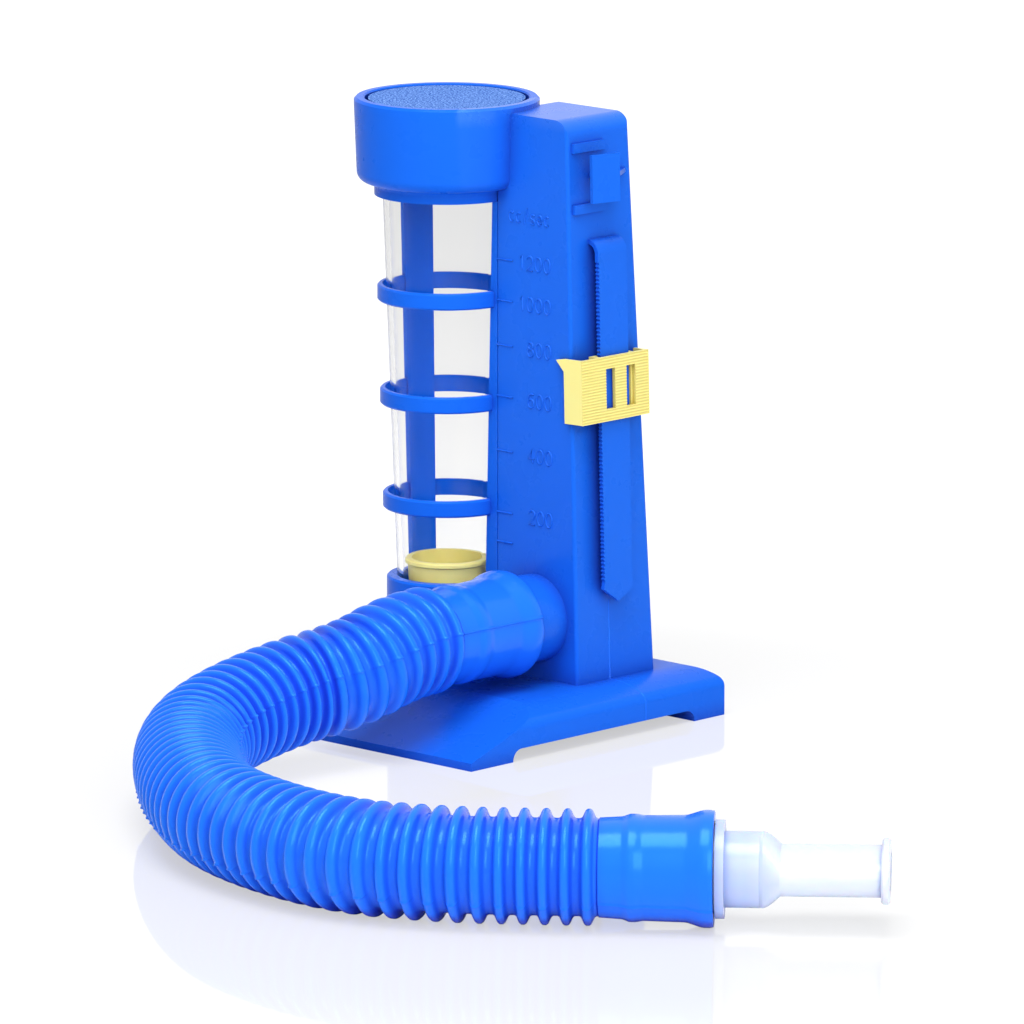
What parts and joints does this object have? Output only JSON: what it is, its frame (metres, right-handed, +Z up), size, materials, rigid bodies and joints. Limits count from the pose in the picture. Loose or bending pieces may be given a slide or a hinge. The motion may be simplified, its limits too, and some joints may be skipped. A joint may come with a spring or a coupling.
{
  "type": "incentive spirometer",
  "caption": "Flow-reading breathing exerciser: float in a clear tube, goal pointer on a rail, filter cup, and corrugated hose with mouthpiece.",
  "frame": {"origin": "centre of the base's underside, on the surface it stands on", "axes": "+Z up along the tube, the embossed scale faces -Y, the pointer rail faces +X"},
  "size_m": [0.2976, 0.252, 0.1693],
  "materials": {
    "housing_blue": "satin-gloss moulded blue plastic",
    "hose_blue": "satin blown blue plastic",
    "pale_yellow": "satin pale yellow plastic",
    "clear_tube": "clear glossy plastic",
    "milky_white": "milky translucent plastic",
    "seal_rubber": "matte soft seal",
    "filter_foam": "open-cell foam"
  },
  "bodies": {
    "housing": {"base_plinth": "housing_blue", "base_cover": "housing_blue", "filter_cup": "housing_blue", "tower_housing": "housing_blue", "duct_divider": "housing_blue", "filter_grid": "housing_blue", "foam_filter": "filter_foam", "filter_ring": "housing_blue", "meter_tube": "clear_tube", "tube_bottom_seal": "seal_rubber", "tube_top_seal": "seal_rubber", "tube_cage": "housing_blue", "float_seat": "housing_blue", "float_stop": "housing_blue", "hose_port": "housing_blue", "port_cuff": "hose_blue", "corrugated_hose": "hose_blue", "mouthpiece_cuff": "hose_blue", "pointer_rail": "housing_blue", "storage_hook": "housing_blue", "hook_bars": "housing_blue"},
    "float": {"float_cup": "pale_yellow"},
    "pointer": {"pointer_slider": "pale_yellow"},
    "mouthpiece": {"mouthpiece": "milky_white"}
  },
  "joints": [
    {"name": "float_lift", "type": "slide", "parent": "housing", "child": "float", "axis": [0, 0, 1], "range_m": [0, 0.105]},
    {"name": "pointer_slide", "type": "slide", "parent": "housing", "child": "pointer", "axis": [-0.028, 0, 0.9996], "range_m": [-0.045, 0.026]},
    {"name": "mouthpiece_swivel", "type": "hinge", "parent": "housing", "child": "mouthpiece", "pos_m": [0.21076, -0.13399, 0.01475], "axis": [0.7604, 0.6494, 0], "continuous": true}
  ]
}
